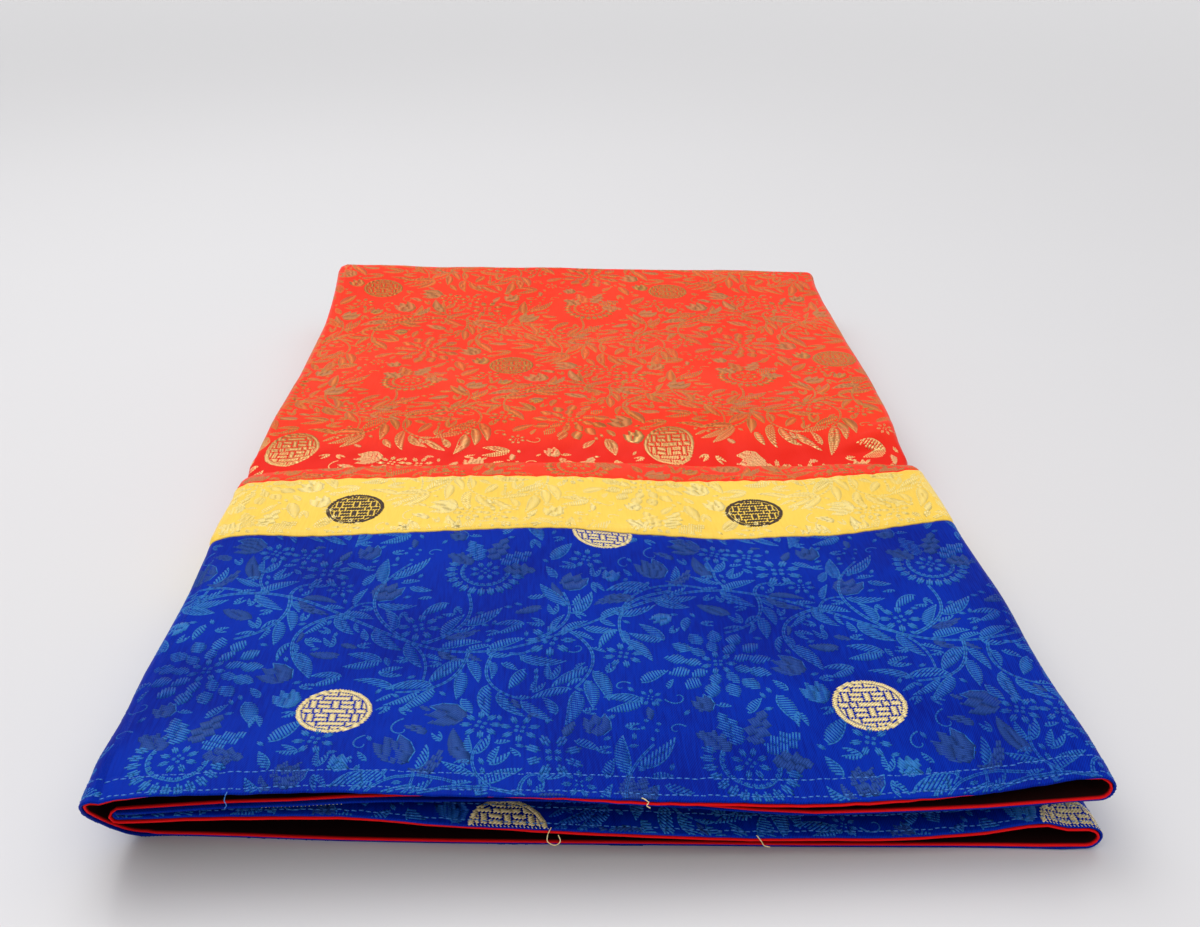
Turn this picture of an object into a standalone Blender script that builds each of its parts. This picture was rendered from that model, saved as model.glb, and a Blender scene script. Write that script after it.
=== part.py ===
"""A lined brocade tube, folded in half lengthwise and laid flat on a table.

The cloth is one closed loop in section. Seen from the front mouth it runs over the top layer,
round the upper right fold, back under it, round a hairpin at the left, over the third layer,
round the lower right fold, and back along the table to the outer fold at the left.
A blue end panel, a yellow band and a red main panel follow each other along the tube, and a
red lining lies inside them. X is to the right, Y runs from the front mouth to the rear one.
Sizes are in millimetres until make_object turns them into metres.
"""
import math

import bpy
import numpy as np

MM = 0.001

# Driving sizes.
HALF_WIDTH = 210.0          # half of the folded width
LENGTH = 673.0              # front mouth to rear mouth
BLUE_END = 208.0            # seam between the blue panel and the yellow band
YELLOW_END = 276.0          # seam between the yellow band and the red panel
BROCADE = 1.2               # thickness of the brocade
LINING = 1.0                # thickness of the lining
GAP = 0.3                   # clearance between pieces that touch

# The top layer along the tube: height of its upper face, half width, and sideways drift.
LENGTHWISE_COLUMNS = ("y", "height", "half_width", "drift")
LENGTHWISE = (
    (0.0, 37.0, 212.6, -1.7),
    (35.0, 39.8, 213.6, -3.0),
    (70.0, 40.0, 213.7, -2.9),
    (150.0, 41.2, 213.6, -0.6),
    (200.0, 41.8, 213.3, -0.6),
    (225.0, 42.8, 214.2, -1.2),
    (270.0, 42.3, 214.4, -0.7),
    (290.0, 41.0, 214.0, -0.7),
    (300.0, 38.6, 213.8, -0.7),
    (307.0, 33.6, 214.4, -0.9),
    (314.0, 31.0, 216.0, -1.5),
    (324.0, 32.2, 216.0, -2.0),
    (336.0, 35.6, 214.8, -0.6),
    (352.0, 39.8, 215.0, 0.8),
    (375.0, 42.0, 215.2, 2.2),
    (430.0, 42.4, 214.8, 5.0),
    (520.0, 43.2, 214.4, 6.9),
    (580.0, 46.0, 214.8, 8.0),
    (630.0, 50.2, 216.0, 8.2),
    (673.0, 54.0, 219.8, 8.6),
)

# The front mouth across the width: where each layer's hem stands (y), the height of the top
# layer's upper face, and the heights of the second layer's lower face and the third layer's
# upper face as a share of it.
FRONT_COLUMNS = ("x", "top_y", "top_height", "second_y", "second_share",
                 "third_y", "third_share", "bottom_y")
FRONT = (
    (-210.0, 1.5, 40.0, 14.0, 0.585, 15.0, 0.525, 27.0),
    (-188.0, 4.0, 42.5, 13.0, 0.600, 14.0, 0.535, 27.0),
    (-160.0, 5.0, 41.8, 11.0, 0.680, 12.0, 0.590, 25.0),
    (-110.0, 4.5, 41.4, 9.0, 0.745, 9.5, 0.595, 20.0),
    (-60.0, 3.0, 38.8, 9.0, 0.760, 5.5, 0.530, 16.0),
    (-15.0, 1.0, 37.4, 8.0, 0.750, 4.0, 0.465, 13.0),
    (40.0, -1.0, 34.2, 5.0, 0.730, 2.0, 0.395, 9.5),
    (85.0, -1.5, 33.0, 1.0, 0.700, 1.0, 0.335, 6.5),
    (120.0, -1.5, 33.3, 0.0, 0.715, 0.0, 0.325, 4.5),
    (155.0, -1.0, 34.6, -0.5, 0.710, 0.0, 0.350, 2.5),
    (182.0, 0.0, 36.4, 0.0, 0.710, 0.0, 0.450, 0.5),
    (196.0, 0.5, 38.0, 0.0, 0.700, 0.0, 0.345, -0.5),
    (210.0, 0.0, 38.6, 0.0, 0.690, 0.0, 0.330, -0.5),
)
FRONT_REACH = 75.0          # how far behind the mouth the hem's own waves die out

# Waves of the cross lines, in y: the two seams and the crease behind the strip of red.
CROSS_COLUMNS = ("x", "blue_seam", "yellow_seam", "crease")
CROSS = (
    (-210.0, -1.0, -3.0, -9.0),
    (-185.0, 4.0, 2.5, 1.0),
    (-150.0, 2.0, 4.0, 6.0),
    (-75.0, 3.5, 3.0, 4.0),
    (-15.0, 5.0, 1.5, 5.0),
    (40.0, -3.0, -4.0, 0.0),
    (90.0, -8.0, -8.0, -9.0),
    (125.0, -8.0, -7.5, -11.0),
    (165.0, -3.0, -3.5, -8.0),
    (210.0, 6.0, 2.5, -14.0),
)
CREASE_AT = 312.0           # the crease's mean place, in y
CREASE_REACH = 60.0         # how far before and behind it the crease's waves die out

# The rear edge of the top layer lifts more at the left and stands further back there.
REAR_START = 520.0
REAR_LIFT = 4.5             # added at the left, taken away at the right
REAR_SKEW = 7.0             # the same, in y

# Folds.
LEFT_FOLD_REACH = 12.0      # how far the outer left fold bulges
LEFT_FOLD_LEAN = 11.0       # how far its foot stands inside its top
LEFT_FOLD_POWER = 2.7       # 2 is an ellipse, more is squarer
HAIRPIN_X = -196.0          # where the second layer turns into the third
LOWER_INSET = 0.5           # how far the lower right fold stands inside the upper one

# Stations: runs across each layer and round each fold, and rows along each panel.
TOP_RUNS, SECOND_RUNS, THIRD_RUNS, BOTTOM_RUNS = 12, 9, 12, 5
RIGHT_FOLD_RUNS, HAIRPIN_RUNS, LEFT_FOLD_RUNS = 6, 5, 9
BLUE_ROWS = (0.0, 22.0, 55.0, 105.0, 160.0, BLUE_END)
YELLOW_ROWS = (BLUE_END, 240.0, YELLOW_END)
RED_ROWS = (YELLOW_END, 291.0, 300.0, 307.0, 314.0, 325.0, 340.0, 360.0, 430.0, 520.0,
            600.0, LENGTH)

# Colours, roughness.
FINISHES = {
    "blue_panel": ((0.005, 0.035, 0.38), 0.42),
    "yellow_band": ((0.90, 0.62, 0.12), 0.40),
    "red_panel": ((0.80, 0.06, 0.03), 0.42),
    "lining": ((0.60, 0.01, 0.02), 0.55),
}


def column(rows, names, name):
    """One named column of a table."""
    place = names.index(name)
    return np.array([row[place] for row in rows])


def smooth(at, places, values):
    """A smooth curve through a table's values, flat where they peak, read at `at`."""
    widths = np.diff(places)
    steps = np.diff(values) / widths
    slopes = np.zeros(len(places))
    slopes[0], slopes[-1] = steps[0], steps[-1]
    same_way = steps[:-1] * steps[1:] > 0.0
    mean = 2.0 * steps[:-1] * steps[1:] / np.where(same_way, steps[:-1] + steps[1:], 1.0)
    slopes[1:-1] = np.where(same_way, mean, 0.0)
    at = min(max(at, places[0]), places[-1])
    k = min(int(np.searchsorted(places, at, side="right")) - 1, len(widths) - 1)
    t = (at - places[k]) / widths[k]
    return float(
        values[k] * (1 + 2 * t) * (1 - t) ** 2
        + slopes[k] * widths[k] * t * (1 - t) ** 2
        + values[k + 1] * t * t * (3 - 2 * t)
        + slopes[k + 1] * widths[k] * t * t * (t - 1)
    )


def ease(share):
    """0 to 1 with flat ends."""
    share = min(max(share, 0.0), 1.0)
    return share * share * (3.0 - 2.0 * share)


def lengthwise(name, y):
    return smooth(y, column(LENGTHWISE, LENGTHWISE_COLUMNS, "y"),
                  column(LENGTHWISE, LENGTHWISE_COLUMNS, name))


def front(name, x):
    return smooth(x, column(FRONT, FRONT_COLUMNS, "x"), column(FRONT, FRONT_COLUMNS, name))


def cross(name, x):
    return smooth(x, column(CROSS, CROSS_COLUMNS, "x"), column(CROSS, CROSS_COLUMNS, name))


def top_height(x, y):
    """Height of the top layer's upper face."""
    near_crease = ease(1.0 - abs(y - CREASE_AT) / CREASE_REACH)
    height = lengthwise("height", y - cross("crease", x) * near_crease)
    height += (front("top_height", x) - lengthwise("height", 0.0)) * ease(1.0 - y / FRONT_REACH)
    rear = ease((y - REAR_START) / (LENGTH - REAR_START))
    return height - REAR_LIFT * rear * x / HALF_WIDTH


def place_y(x, row, mouth_y):
    """Where a row across the tube really runs: the mouth's, seams', crease's and rear's waves."""
    y = row + mouth_y * (1.0 - row / LENGTH)
    y += cross("blue_seam", x) * ease(1.0 - abs(row - BLUE_END) / (BLUE_END / 2))
    y += cross("yellow_seam", x) * ease(1.0 - abs(row - YELLOW_END) / (YELLOW_END - BLUE_END))
    y += cross("crease", x) * ease(1.0 - abs(row - CREASE_AT) / (CREASE_AT - YELLOW_END))
    return y - REAR_SKEW * ease((row - REAR_START) / (LENGTH - REAR_START)) * x / HALF_WIDTH


def arc(centre_x, low, high, reach, runs, way):
    """Inner points of a half ellipse from high to low; way is 1 for a bulge to the right."""
    middle = 0.5 * (low + high)
    for step in range(1, runs):
        turn = math.pi * step / runs
        yield (centre_x + way * reach * math.sin(turn),
               middle + 0.5 * (high - low) * math.cos(turn))


def section(row):
    """The outer face of the cloth at one row, as a closed loop of (x, y, z)."""
    points = []

    def on_layer(start, end, runs, share, mouth):
        for x in np.linspace(start, end, runs + 1):
            y = place_y(x, row, front(mouth, x))
            height = 0.0 if share is None else top_height(x, y)
            if share not in (None, "top"):
                height *= front(share, x)
            points.append((float(x), y, height))

    def ends(x, mouth):
        y = place_y(x, row, front(mouth, x))
        top = top_height(x, y)
        return top, front("second_share", x) * top, front("third_share", x) * top

    upper_x = lower_x = HALF_WIDTH
    for _ in range(4):
        top, second, _third = ends(upper_x, "top_y")
        upper_x = HALF_WIDTH - 0.5 * (top - second)
        _top, _second, third = ends(lower_x, "third_y")
        lower_x = HALF_WIDTH - LOWER_INSET - 0.5 * third

    left_x = -HALF_WIDTH + LEFT_FOLD_REACH
    on_layer(left_x, upper_x, TOP_RUNS, "top", "top_y")
    top, second, _third = ends(upper_x, "top_y")
    for x, z in arc(upper_x, second, top, HALF_WIDTH - upper_x, RIGHT_FOLD_RUNS, 1.0):
        points.append((x, place_y(x, row, front("second_y", x)), z))

    on_layer(upper_x, HAIRPIN_X, SECOND_RUNS, "second_share", "second_y")
    _top, second, third = ends(HAIRPIN_X, "third_y")
    for x, z in arc(HAIRPIN_X, third, second, 0.5 * (second - third), HAIRPIN_RUNS, -1.0):
        points.append((x, place_y(x, row, front("third_y", x)), z))

    on_layer(HAIRPIN_X, lower_x, THIRD_RUNS, "third_share", "third_y")
    _top, _second, third = ends(lower_x, "third_y")
    for x, z in arc(lower_x, 0.0, third, 0.5 * third, RIGHT_FOLD_RUNS, 1.0):
        points.append((x, place_y(x, row, front("bottom_y", x)), z))

    foot_x = left_x + LEFT_FOLD_LEAN
    on_layer(lower_x, foot_x, BOTTOM_RUNS, None, "bottom_y")
    top, _second, _third = ends(left_x, "top_y")
    for step in range(1, LEFT_FOLD_RUNS):
        turn = math.pi * (step / LEFT_FOLD_RUNS - 0.5)
        bulge = abs(math.cos(turn)) ** (2.0 / LEFT_FOLD_POWER)
        rise = math.copysign(abs(math.sin(turn)) ** (2.0 / LEFT_FOLD_POWER), turn)
        z = 0.5 * top * (1.0 + rise)
        share = z / top
        x = foot_x - LEFT_FOLD_LEAN * share - LEFT_FOLD_REACH * bulge
        mouth_y = front("bottom_y", x) * (1.0 - share) + front("top_y", x) * share
        points.append((x, place_y(x, row, mouth_y), z))
    return points


def loops(row, depths):
    """The section at each depth below the outer face, drifted and scaled to its place."""
    outer = np.array(section(row))
    before, after = np.roll(outer, 1, axis=0), np.roll(outer, -1, axis=0)
    along = after - before
    normal = np.stack([-along[:, 2], np.zeros(len(outer)), along[:, 0]], axis=1)
    normal /= np.linalg.norm(normal, axis=1)[:, None]
    found = []
    for depth in depths:
        loop = outer - normal * depth
        for point in loop:
            scale = lengthwise("half_width", point[1]) / HALF_WIDTH
            point[0] = point[0] * scale + lengthwise("drift", point[1])
        found.append(loop)
    return found


def make_object(name, rows, start_gap, end_gap, outer_depth, inner_depth, shift):
    """A closed sheet round the tube: outer and inner faces over the rows, and two rims."""
    trimmed = [rows[0] + start_gap, *rows[1:-1], rows[-1] - end_gap]
    outer_loops, inner_loops = [], []
    for row in trimmed:
        outer, inner = loops(row, (outer_depth, inner_depth))
        outer_loops.append(outer)
        inner_loops.append(inner)
    stations = len(outer_loops[0])
    points = np.concatenate(outer_loops + inner_loops)
    points[:, :2] -= shift
    first_inner = stations * len(trimmed)
    faces = []
    for k in range(len(trimmed) - 1):
        for i in range(stations):
            j = (i + 1) % stations
            a, b = k * stations + i, k * stations + j
            c, d = b + stations, a + stations
            for p, q, r in ((a, b, c), (a, c, d)):
                faces.append((p, q, r))
                faces.append((first_inner + r, first_inner + q, first_inner + p))
    last = (len(trimmed) - 1) * stations
    for i in range(stations):
        j = (i + 1) % stations
        faces.append((i, first_inner + i, first_inner + j, j))
        faces.append((last + j, first_inner + last + j, first_inner + last + i, last + i))
    mesh = bpy.data.meshes.new(name)
    mesh.from_pydata((points * MM).tolist(), [], faces)
    mesh.validate()
    mesh.shade_smooth()
    made = bpy.data.objects.new(name, mesh)
    made.data.materials.append(make_material(name))
    bpy.context.scene.collection.objects.link(made)
    return made


def make_material(name):
    colour, roughness = FINISHES[name]
    material = bpy.data.materials.new(name)
    material.use_nodes = True
    shader = material.node_tree.nodes["Principled BSDF"]
    shader.inputs["Base Color"].default_value = (*colour, 1.0)
    shader.inputs["Roughness"].default_value = roughness
    shader.inputs["Metallic"].default_value = 0.0
    return material


def footprint_middle():
    """The middle of the whole footprint in x and y, so that the origin stands under it."""
    rows = BLUE_ROWS + YELLOW_ROWS + RED_ROWS
    outline = np.concatenate([loops(row, (0.0,))[0] for row in rows])[:, :2]
    return 0.5 * (outline.min(axis=0) + outline.max(axis=0))


def main():
    for old in list(bpy.data.objects):
        bpy.data.objects.remove(old, do_unlink=True)
    shift = footprint_middle()
    half_gap = 0.5 * GAP
    make_object("blue_panel", BLUE_ROWS, 0.0, half_gap, 0.0, BROCADE, shift)
    make_object("yellow_band", YELLOW_ROWS, half_gap, half_gap, 0.0, BROCADE, shift)
    make_object("red_panel", RED_ROWS, half_gap, 0.0, 0.0, BROCADE, shift)
    lining_rows = BLUE_ROWS[:-1] + YELLOW_ROWS[:-1] + RED_ROWS
    make_object("lining", lining_rows, 0.0, 0.0, BROCADE + GAP, BROCADE + GAP + LINING, shift)


main()
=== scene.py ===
"""Looks of the folded brocade tube: cloth, woven pattern, hem stitches, lining, floor and light.

The cloth follows the same section and the same named sizes as the CAD solids, in millimetres,
and is brought into the frame, in metres, at the end. A point on the cloth has two addresses:
u runs round the tube from the middle of the top layer, and v from the front mouth to the rear.
"""
import math
import random

import bpy
import numpy as np
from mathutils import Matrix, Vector


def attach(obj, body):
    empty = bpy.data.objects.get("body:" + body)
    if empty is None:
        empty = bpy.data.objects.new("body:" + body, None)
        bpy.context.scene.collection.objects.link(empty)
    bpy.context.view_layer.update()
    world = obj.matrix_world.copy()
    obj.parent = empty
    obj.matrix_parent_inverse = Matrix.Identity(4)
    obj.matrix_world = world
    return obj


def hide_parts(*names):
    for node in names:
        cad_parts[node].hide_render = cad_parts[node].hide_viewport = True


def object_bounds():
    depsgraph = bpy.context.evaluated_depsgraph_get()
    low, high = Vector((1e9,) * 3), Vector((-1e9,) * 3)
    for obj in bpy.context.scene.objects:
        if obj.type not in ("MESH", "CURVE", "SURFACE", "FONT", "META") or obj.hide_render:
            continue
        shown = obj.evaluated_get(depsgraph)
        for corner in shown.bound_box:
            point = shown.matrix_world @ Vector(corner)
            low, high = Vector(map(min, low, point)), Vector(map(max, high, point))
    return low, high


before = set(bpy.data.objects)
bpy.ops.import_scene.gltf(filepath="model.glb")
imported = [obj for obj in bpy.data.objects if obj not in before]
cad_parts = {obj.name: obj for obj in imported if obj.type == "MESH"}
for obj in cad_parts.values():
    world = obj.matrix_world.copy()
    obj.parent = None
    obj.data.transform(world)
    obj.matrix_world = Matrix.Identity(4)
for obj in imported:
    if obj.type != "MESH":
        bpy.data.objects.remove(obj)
CAD_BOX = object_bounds()
MM = 0.001

# ---------------------------------------------------------------------------------------------
# The folded shape, as in the CAD.

HALF_WIDTH = 210.0
LENGTH = 673.0
BLUE_END = 208.0
YELLOW_END = 276.0
BROCADE = 1.2
LINING = 1.0
GAP = 0.3

LENGTHWISE_COLUMNS = ("y", "height", "half_width", "drift")
LENGTHWISE = (
    (0.0, 37.0, 212.6, -1.7),
    (35.0, 39.8, 213.6, -3.0),
    (70.0, 40.0, 213.7, -2.9),
    (150.0, 41.2, 213.6, -0.6),
    (200.0, 41.8, 213.3, -0.6),
    (225.0, 42.8, 214.2, -1.2),
    (270.0, 42.3, 214.4, -0.7),
    (290.0, 41.0, 214.0, -0.7),
    (300.0, 38.6, 213.8, -0.7),
    (307.0, 33.6, 214.4, -0.9),
    (314.0, 31.0, 216.0, -1.5),
    (324.0, 32.2, 216.0, -2.0),
    (336.0, 35.6, 214.8, -0.6),
    (352.0, 39.8, 215.0, 0.8),
    (375.0, 42.0, 215.2, 2.2),
    (430.0, 42.4, 214.8, 5.0),
    (520.0, 43.2, 214.4, 6.9),
    (580.0, 46.0, 214.8, 8.0),
    (630.0, 50.2, 216.0, 8.2),
    (673.0, 54.0, 219.8, 8.6),
)
FRONT_COLUMNS = ("x", "top_y", "top_height", "second_y", "second_share",
                 "third_y", "third_share", "bottom_y")
FRONT = (
    (-210.0, 1.5, 40.0, 14.0, 0.585, 15.0, 0.525, 27.0),
    (-188.0, 4.0, 42.5, 13.0, 0.600, 14.0, 0.535, 27.0),
    (-160.0, 5.0, 41.8, 11.0, 0.680, 12.0, 0.590, 25.0),
    (-110.0, 4.5, 41.4, 9.0, 0.745, 9.5, 0.595, 20.0),
    (-60.0, 3.0, 38.8, 9.0, 0.760, 5.5, 0.530, 16.0),
    (-15.0, 1.0, 37.4, 8.0, 0.750, 4.0, 0.465, 13.0),
    (40.0, -1.0, 34.2, 5.0, 0.730, 2.0, 0.395, 9.5),
    (85.0, -1.5, 33.0, 1.0, 0.700, 1.0, 0.335, 6.5),
    (120.0, -1.5, 33.3, 0.0, 0.715, 0.0, 0.325, 4.5),
    (155.0, -1.0, 34.6, -0.5, 0.710, 0.0, 0.350, 2.5),
    (182.0, 0.0, 36.4, 0.0, 0.710, 0.0, 0.450, 0.5),
    (196.0, 0.5, 38.0, 0.0, 0.700, 0.0, 0.345, -0.5),
    (210.0, 0.0, 38.6, 0.0, 0.690, 0.0, 0.330, -0.5),
)
FRONT_REACH = 75.0
CROSS_COLUMNS = ("x", "blue_seam", "yellow_seam", "crease")
CROSS = (
    (-210.0, -1.0, -3.0, -9.0),
    (-185.0, 4.0, 2.5, 1.0),
    (-150.0, 2.0, 4.0, 6.0),
    (-75.0, 3.5, 3.0, 4.0),
    (-15.0, 5.0, 1.5, 5.0),
    (40.0, -3.0, -4.0, 0.0),
    (90.0, -8.0, -8.0, -9.0),
    (125.0, -8.0, -7.5, -11.0),
    (165.0, -3.0, -3.5, -8.0),
    (210.0, 6.0, 2.5, -14.0),
)
CREASE_AT = 312.0
CREASE_REACH = 60.0
REAR_START = 520.0
REAR_LIFT = 4.5
REAR_SKEW = 7.0
LEFT_FOLD_REACH = 12.0
LEFT_FOLD_LEAN = 11.0
LEFT_FOLD_POWER = 2.7
HAIRPIN_X = -196.0
LOWER_INSET = 0.5
FLOOR_CLEARANCE = 0.3       # the bottom layer's lift, which its raised threads fill


def curve_of(rows, names, name):
    """One column of a table as a smooth curve through its rows, flat where they peak."""
    places = np.array([row[0] for row in rows])
    values = np.array([row[names.index(name)] for row in rows])
    widths = np.diff(places)
    steps = np.diff(values) / widths
    same_way = steps[:-1] * steps[1:] > 0.0
    slopes = np.concatenate([steps[:1], np.zeros(len(places) - 2), steps[-1:]])
    mean = 2.0 * steps[:-1] * steps[1:] / np.where(same_way, steps[:-1] + steps[1:], 1.0)
    slopes[1:-1] = np.where(same_way, mean, 0.0)

    def read(at):
        at = np.clip(at, places[0], places[-1])
        k = np.clip(np.searchsorted(places, at, side="right") - 1, 0, len(widths) - 1)
        t = (at - places[k]) / widths[k]
        rest = 1.0 - t
        return (values[k] * (1 + 2 * t) * rest**2 + slopes[k] * widths[k] * t * rest**2
                + values[k + 1] * t * t * (3 - 2 * t) - slopes[k + 1] * widths[k] * t * t * rest)

    return read


LENGTHWISE_OF = {n: curve_of(LENGTHWISE, LENGTHWISE_COLUMNS, n) for n in LENGTHWISE_COLUMNS[1:]}
FRONT_OF = {n: curve_of(FRONT, FRONT_COLUMNS, n) for n in FRONT_COLUMNS[1:]}
CROSS_OF = {n: curve_of(CROSS, CROSS_COLUMNS, n) for n in CROSS_COLUMNS[1:]}


def ease(share):
    """0 to 1 with flat ends."""
    share = np.clip(share, 0.0, 1.0)
    return share * share * (3.0 - 2.0 * share)


def hump(distance, reach):
    """1 at distance 0, falling smoothly to 0 at reach."""
    return ease(1.0 - np.abs(distance) / reach)


def top_height(x, y):
    """Height of the top layer's upper face."""
    height = LENGTHWISE_OF["height"](y - CROSS_OF["crease"](x) * hump(y - CREASE_AT, CREASE_REACH))
    at_mouth = LENGTHWISE_OF["height"](0.0)
    height = height + (FRONT_OF["top_height"](x) - at_mouth) * ease(1.0 - y / FRONT_REACH)
    rear = ease((y - REAR_START) / (LENGTH - REAR_START))
    return height - REAR_LIFT * rear * x / HALF_WIDTH


def place_y(x, row, mouth_y):
    """Where a row across the tube really runs: the mouth's, seams', crease's and rear's waves."""
    y = row + mouth_y * (1.0 - row / LENGTH)
    y = y + CROSS_OF["blue_seam"](x) * hump(row - BLUE_END, BLUE_END / 2)
    y = y + CROSS_OF["yellow_seam"](x) * hump(row - YELLOW_END, YELLOW_END - BLUE_END)
    y = y + CROSS_OF["crease"](x) * hump(row - CREASE_AT, CREASE_AT - YELLOW_END)
    return y - REAR_SKEW * ease((row - REAR_START) / (LENGTH - REAR_START)) * x / HALF_WIDTH


# Stations round the tube: how many runs each layer and fold takes.
TOP, UPPER_FOLD, SECOND, HAIRPIN, THIRD, LOWER_FOLD, BOTTOM, LEFT_FOLD = range(8)
RUNS = {TOP: 150, UPPER_FOLD: 12, SECOND: 34, HAIRPIN: 8, THIRD: 90, LOWER_FOLD: 12,
        BOTTOM: 40, LEFT_FOLD: 26}
PART = np.concatenate([
    np.full(RUNS[part] + (1 if part in (TOP, SECOND, THIRD, BOTTOM) else -1), part)
    for part in range(8)])


def section(row):
    """The outer face of the cloth at one row, as a closed loop of points."""
    pieces = []

    def on_layer(start, end, part, share, mouth):
        x = np.linspace(start, end, RUNS[part] + 1)
        y = place_y(x, row, FRONT_OF[mouth](x))
        height = np.full_like(x, FLOOR_CLEARANCE) if part == BOTTOM else top_height(x, y)
        if share:
            height = height * FRONT_OF[share](x)
        pieces.append(np.stack([x, y, height], axis=1))

    def ends(x, mouth):
        top = top_height(x, place_y(x, row, FRONT_OF[mouth](x)))
        return top, FRONT_OF["second_share"](x) * top, FRONT_OF["third_share"](x) * top

    def fold(centre_x, low, high, reach, part, way, mouth):
        turn = math.pi * np.arange(1, RUNS[part]) / RUNS[part]
        x = centre_x + way * reach * np.sin(turn)
        z = 0.5 * (low + high) + 0.5 * (high - low) * np.cos(turn)
        pieces.append(np.stack([x, place_y(x, row, FRONT_OF[mouth](x)), z], axis=1))

    upper_x = lower_x = HALF_WIDTH
    for _ in range(4):
        top, second, _third = ends(upper_x, "top_y")
        upper_x = HALF_WIDTH - 0.5 * (top - second)
        _top, _second, third = ends(lower_x, "third_y")
        lower_x = HALF_WIDTH - LOWER_INSET - 0.5 * third

    left_x = -HALF_WIDTH + LEFT_FOLD_REACH
    on_layer(left_x, upper_x, TOP, None, "top_y")
    top, second, _third = ends(upper_x, "top_y")
    fold(upper_x, second, top, HALF_WIDTH - upper_x, UPPER_FOLD, 1.0, "second_y")
    on_layer(upper_x, HAIRPIN_X, SECOND, "second_share", "second_y")
    _top, second, third = ends(HAIRPIN_X, "third_y")
    fold(HAIRPIN_X, third, second, 0.5 * (second - third), HAIRPIN, -1.0, "third_y")
    on_layer(HAIRPIN_X, lower_x, THIRD, "third_share", "third_y")
    _top, _second, third = ends(lower_x, "third_y")
    fold(lower_x, FLOOR_CLEARANCE, third, 0.5 * third, LOWER_FOLD, 1.0, "bottom_y")
    foot_x = left_x + LEFT_FOLD_LEAN
    on_layer(lower_x, foot_x, BOTTOM, None, "bottom_y")

    top, _second, _third = ends(left_x, "top_y")
    turn = math.pi * (np.arange(1, RUNS[LEFT_FOLD]) / RUNS[LEFT_FOLD] - 0.5)
    bulge = np.abs(np.cos(turn)) ** (2.0 / LEFT_FOLD_POWER)
    rise = np.sign(turn) * np.abs(np.sin(turn)) ** (2.0 / LEFT_FOLD_POWER)
    share = 0.5 * (1.0 + rise)
    x = foot_x - LEFT_FOLD_LEAN * share - LEFT_FOLD_REACH * bulge
    mouth_y = FRONT_OF["bottom_y"](x) * (1.0 - share) + FRONT_OF["top_y"](x) * share
    z = FLOOR_CLEARANCE + (top - FLOOR_CLEARANCE) * share
    pieces.append(np.stack([x, place_y(x, row, mouth_y), z], axis=1))
    loop = np.concatenate(pieces)
    scale = LENGTHWISE_OF["half_width"](loop[:, 1]) / HALF_WIDTH
    loop[:, 0] = loop[:, 0] * scale + LENGTHWISE_OF["drift"](loop[:, 1])
    return loop


# ---------------------------------------------------------------------------------------------
# The cloth as one fine grid: rows along the tube, stations round it.

# Stretches of rows: start, end, step.
ROW_ZONES = (
    (0.0, 16.0, 1.0),
    (16.0, 198.0, 3.2),
    (198.0, BLUE_END, 1.0),
    (BLUE_END, 218.0, 1.0),
    (218.0, 268.0, 3.2),
    (268.0, YELLOW_END, 1.0),
    (YELLOW_END, 290.0, 1.2),
    (290.0, 350.0, 1.7),
    (350.0, LENGTH, 3.4),
)


def all_rows():
    """Rows closer together at the hem, the seams and the crease, with one on each seam."""
    rows = []
    for start, end, step in ROW_ZONES:
        rows.extend(np.linspace(start, end, round((end - start) / step) + 1)[:-1])
    return np.array([*rows, LENGTH])


def waves(u, v, parts):
    """A sum of slanted waves: (length, slant, phase, height) each."""
    total = 0.0
    for length, slant, phase, height in parts:
        total = total + height * np.sin(2 * math.pi * (u * math.cos(slant) + v * math.sin(slant))
                                        / length + phase)
    return total


SOFT_WAVES = ((173.0, 0.35, 0.4, 0.45), (97.0, 1.25, 2.1, 0.30), (61.0, -0.6, 4.0, 0.22),
              (39.0, 0.9, 1.3, 0.12), (23.0, 0.2, 5.1, 0.06))
PUCKER_WAVES = ((9.3, 0.15, 0.0, 0.5), (14.7, -0.2, 1.7, 0.6), (6.1, 0.1, 3.9, 0.25))
CREASE_WAVES = ((34.0, 0.3, 0.8, 0.6), (19.0, -0.5, 2.6, 0.35), (11.0, 0.4, 5.5, 0.15))
# Small folds where the crease is pinched at its right end, and by the seams.
# Each has u, v, how long and wide it is, its slant, and how far it stands proud.
PINCHES = (
    (196.0, 336.0, 15.0, 4.0, 0.25, 2.6),
    (190.0, 327.0, 16.0, 2.6, 0.10, -1.8),
    (206.0, 347.0, 12.0, 4.5, 0.60, 1.6),
    (178.0, 343.0, 10.0, 3.0, -0.35, 1.1),
    (150.0, 331.0, 14.0, 2.6, 0.08, 0.8),
    (-204.0, 330.0, 10.0, 5.0, -0.4, 1.0),
    (-40.0, 213.0, 26.0, 3.0, 0.05, 0.6),
    (30.0, 212.0, 20.0, 2.6, -0.06, 0.7),
)
HEM_DEPTH = 12.4
HEM_STEP = 0.40             # the turned-in hem makes the cloth this much thicker
EDGE_STITCH_AT = 3.2
STITCH_DENTS = ((HEM_DEPTH, 1.4, 0.24), (EDGE_STITCH_AT, 1.2, 0.16))    # place, width, depth
HEM_PUCKER_AT, HEM_PUCKER_REACH, HEM_PUCKER = 8.0, 9.0, 0.34
GROOVE_WIDTH, GROOVE_DEPTH = 1.8, 0.70      # along each seam
SWELL_AWAY, SWELL_WIDTH = 5.0, 4.0          # beside it, on one side or the other
SWELL, SWELL_PUCKER = 0.65, 0.30
SEAM_PUCKER_REACH, SEAM_PUCKER = 6.0, 0.16
CREASE_WAVES_BEHIND, CREASE_WAVES_REACH = 14.0, 12.0


def bell(distance, width):
    return np.exp(-(distance / width) ** 2)


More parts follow.
